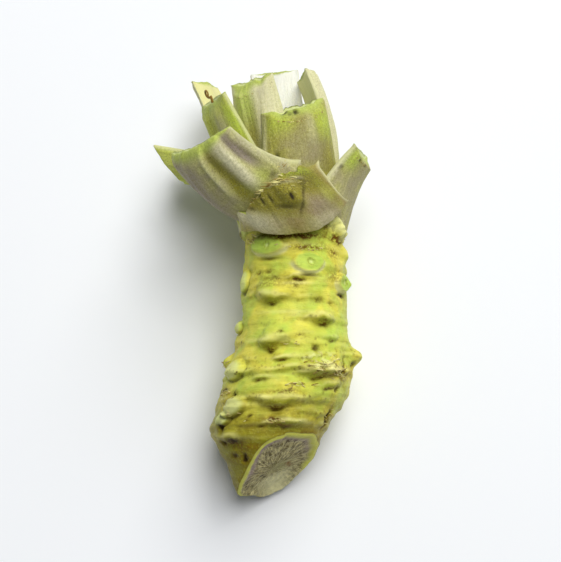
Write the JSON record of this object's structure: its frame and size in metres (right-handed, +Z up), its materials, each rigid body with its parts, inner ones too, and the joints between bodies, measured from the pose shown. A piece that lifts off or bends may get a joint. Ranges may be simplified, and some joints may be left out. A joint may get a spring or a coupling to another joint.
{
  "type": "wasabi root",
  "caption": "Fresh wasabi root lying on its side: a knobbly, ringed green rhizome cut slantwise at the tip, with short cut leaf stalks clasping its crown.",
  "frame": {"origin": "centre of the object's bounding box in plan, on the surface that it lies on", "axes": "+Y along the root from its cut tip towards the cut leaf stalks; +Z up; +X to the right of someone who looks from the tip towards the stalks"},
  "size_m": [0.0604, 0.1206, 0.0553],
  "materials": {
    "root_skin": "moist, waxy, uneven",
    "leaf_stalk": "satin, fibrous",
    "leaf_sheath": "satin, fibrous"
  },
  "bodies": {
    "root": {"rhizome": "root_skin", "heart_stalk_left": "leaf_stalk", "heart_stalk_right": "leaf_stalk", "back_stalk": "leaf_stalk", "inner_right_stalk": "leaf_stalk", "inner_left_stalk": "leaf_stalk", "far_right_stalk": "leaf_stalk", "far_left_stalk": "leaf_stalk", "upper_left_stalk": "leaf_stalk", "centre_stalk": "leaf_stalk", "left_stalk": "leaf_stalk", "under_right_stalk": "leaf_stalk", "under_left_stalk": "leaf_stalk", "right_stalk": "leaf_stalk", "front_left_stalk": "leaf_stalk", "front_sheath": "leaf_sheath"}
  },
  "joints": []
}
